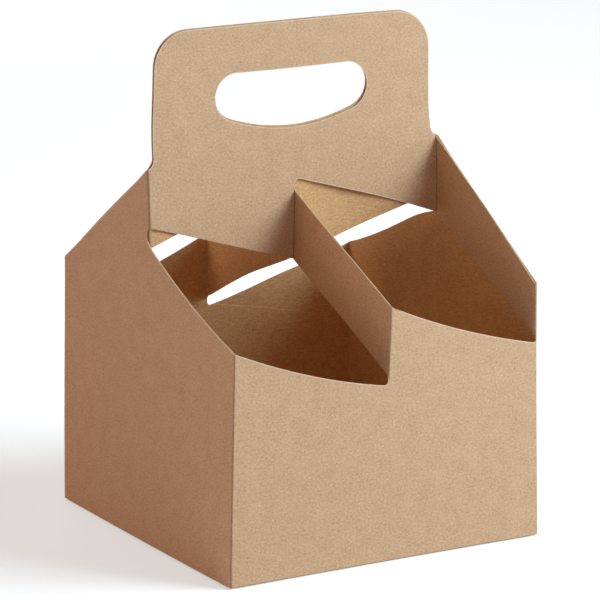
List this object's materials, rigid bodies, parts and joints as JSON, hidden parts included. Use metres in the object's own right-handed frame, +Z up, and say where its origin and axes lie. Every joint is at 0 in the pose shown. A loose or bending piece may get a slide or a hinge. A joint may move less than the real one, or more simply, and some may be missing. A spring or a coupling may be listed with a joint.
{
  "type": "cup carrier",
  "caption": "Folded kraft paperboard cup carrier: an open square box parted into cells by straps that rise to a central handle panel with a hand hole.",
  "frame": {"origin": "middle of the flat base, on the plane it stands on", "axes": "+Z up, X along the handle panel and the front wall, Y from the front wall to the rear wall"},
  "size_m": [0.178, 0.178, 0.262],
  "materials": {
    "kraft_board": "matte"
  },
  "bodies": {
    "root": {"carrier": "kraft_board"}
  },
  "joints": []
}
